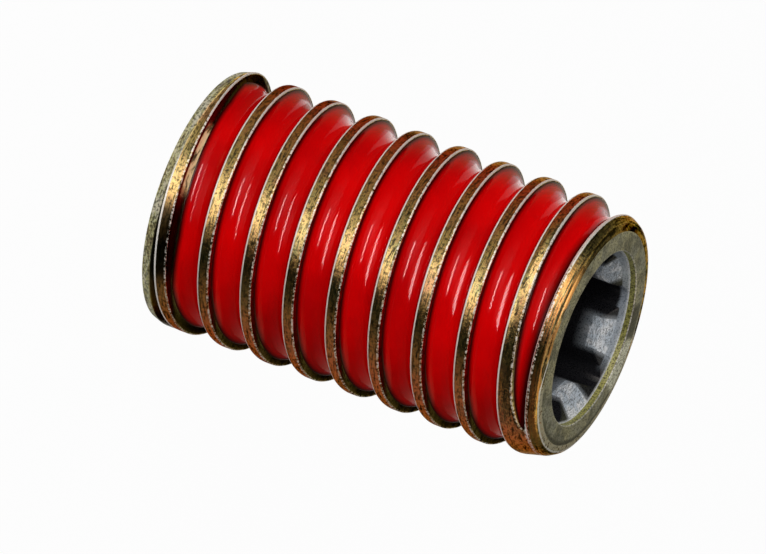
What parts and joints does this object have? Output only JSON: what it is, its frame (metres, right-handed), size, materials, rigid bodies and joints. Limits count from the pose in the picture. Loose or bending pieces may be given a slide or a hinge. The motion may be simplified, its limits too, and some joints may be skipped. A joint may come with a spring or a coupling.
{
  "type": "set screw",
  "caption": "Headless set screw in yellow-plated steel, with a hexalobular drive socket, a flat chamfered point and a round-bottomed thread filled with red lacquer",
  "frame": {"origin": "centre of the flat point, on the screw's axis; the screw stands on it", "axes": "+Z is the screw's axis, from the point up to the drive socket; +X passes through the middle of one socket lobe; millimetres in the STEP"},
  "size_m": [0.016, 0.016, 0.026],
  "materials": {
    "plated_steel": "yellow chromated zinc plating, satin",
    "red_lacquer": "glossy red lacquer film in the thread groove"
  },
  "bodies": {
    "root": {"set_screw": "plated_steel"}
  },
  "joints": []
}
